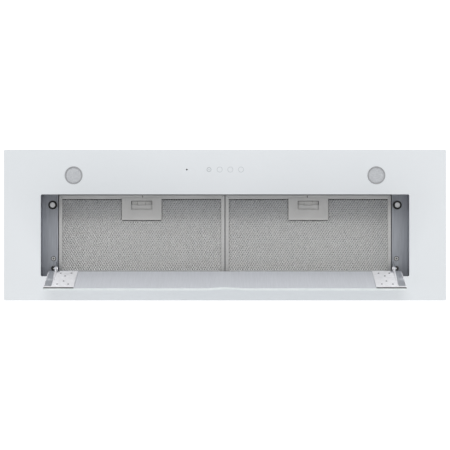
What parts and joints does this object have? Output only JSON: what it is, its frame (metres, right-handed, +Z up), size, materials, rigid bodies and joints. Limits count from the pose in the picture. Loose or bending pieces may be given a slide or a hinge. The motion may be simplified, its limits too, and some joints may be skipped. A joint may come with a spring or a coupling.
{
  "type": "under-cabinet range hood",
  "caption": "Built-in under-cabinet range hood with a white glass fascia, drop-down aspiration panel, lift-out grease filters, blower box and round duct outlet.",
  "frame": {"origin": "middle of the fascia in plan, at the seat flange's top face that meets the cabinet's underside", "axes": "+X along the hood, +Y towards the wall, +Z up into the cabinet"},
  "size_m": [0.9, 0.307, 0.4493],
  "materials": {
    "white_glass": "white back-painted glass, glossy",
    "brushed_steel": "brushed",
    "satin_skin": "satin",
    "zinc_steel": "galvanised sheet",
    "bright_steel": "bright zinc",
    "filter_aluminium": "satin",
    "filter_mesh": "expanded mesh",
    "grey_plastic": "satin",
    "frosted_lens": "frosted",
    "black_plastic": "matte",
    "black_rubber": "matte",
    "board_green": "solder mask",
    "foam_tape": "acrylic foam",
    "motor_black": "satin",
    "white_plastic": "semi gloss"
  },
  "bodies": {
    "root": {"fascia_glass": "white_glass", "fascia_backing_frame": "zinc_steel", "glass_bonding_tape": "foam_tape", "body_shell": "zinc_steel", "recess_liner": "brushed_steel", "filter_rear_rail": "zinc_steel", "filter_divider": "zinc_steel", "motor_box": "zinc_steel", "motor_box_screws": "bright_steel", "scroll_left": "zinc_steel", "scroll_right": "zinc_steel", "inlet_ring_left": "zinc_steel", "inlet_ring_right": "zinc_steel", "motor_housing": "motor_black", "motor_bracket": "zinc_steel", "motor_grommets": "black_rubber", "capacitor": "white_plastic", "control_box_base": "zinc_steel", "control_box_cover": "zinc_steel", "control_board": "board_green", "touch_module_housing": "black_plastic", "touch_board": "board_green", "sensor_lens": "black_plastic", "lamp_lens_left": "frosted_lens", "lamp_lens_right": "frosted_lens", "lamp_housing_left": "black_plastic", "lamp_housing_right": "black_plastic", "lamp_board_left": "board_green", "lamp_board_right": "board_green", "outlet_collar": "black_plastic", "collar_screws": "bright_steel", "flap_rod": "bright_steel", "cable_gland": "black_plastic", "catch_post_left": "black_rubber", "catch_post_right": "black_rubber", "catch_magnet_left": "bright_steel", "catch_magnet_right": "bright_steel", "hinge_base_left": "bright_steel", "hinge_base_right": "bright_steel", "hinge_base_screws": "bright_steel", "hinge_pin_left": "bright_steel", "hinge_pin_right": "bright_steel"},
    "impeller": {"impeller": "black_plastic", "motor_shaft": "bright_steel"},
    "flap_front": {"flap_front": "grey_plastic"},
    "flap_rear": {"flap_rear": "grey_plastic"},
    "panel": {"panel_glass": "white_glass", "panel_skin": "satin_skin", "end_plate_left": "bright_steel", "end_plate_right": "bright_steel", "hinge_leaf_left": "bright_steel", "hinge_leaf_right": "bright_steel"},
    "filter_left": {"filter_frame_left": "filter_aluminium", "filter_mesh_left": "filter_mesh", "filter_handle_left": "grey_plastic"},
    "latch_left": {"filter_latch_left": "grey_plastic"},
    "filter_right": {"filter_frame_right": "filter_aluminium", "filter_mesh_right": "filter_mesh", "filter_handle_right": "grey_plastic"},
    "latch_right": {"filter_latch_right": "grey_plastic"}
  },
  "joints": [
    {"name": "panel_hinge", "type": "hinge", "parent": "root", "child": "panel", "pos_m": [0, 0.0898, 0.005], "axis": [1, 0, 0], "range_deg": [-101.5, 0]},
    {"name": "filter_left_tilt", "type": "hinge", "parent": "root", "child": "filter_left", "pos_m": [-0.1715, 0.099, 0.0491], "axis": [1, 0, 0], "range_deg": [0, 55]},
    {"name": "filter_left_latch", "type": "slide", "parent": "filter_left", "child": "latch_left", "axis": [0, 1, 0], "range_m": [0, 0.006], "stiffness_N_per_m": 300, "springref_m": -0.002},
    {"name": "filter_right_tilt", "type": "hinge", "parent": "root", "child": "filter_right", "pos_m": [0.1715, 0.099, 0.0491], "axis": [1, 0, 0], "range_deg": [0, 55]},
    {"name": "filter_right_latch", "type": "slide", "parent": "filter_right", "child": "latch_right", "axis": [0, 1, 0], "range_m": [0, 0.006], "stiffness_N_per_m": 300, "springref_m": -0.002},
    {"name": "flap_front_hinge", "type": "hinge", "parent": "root", "child": "flap_front", "pos_m": [0, -0.0382, 0.2878], "axis": [-1, 0, 0], "range_deg": [0, 80]},
    {"name": "flap_rear_hinge", "type": "hinge", "parent": "root", "child": "flap_rear", "pos_m": [0, -0.0382, 0.2878], "axis": [1, 0, 0], "range_deg": [0, 80]},
    {"name": "impeller_spin", "type": "hinge", "parent": "root", "child": "impeller", "pos_m": [0, 0.02, 0.172], "axis": [1, 0, 0], "continuous": true}
  ]
}
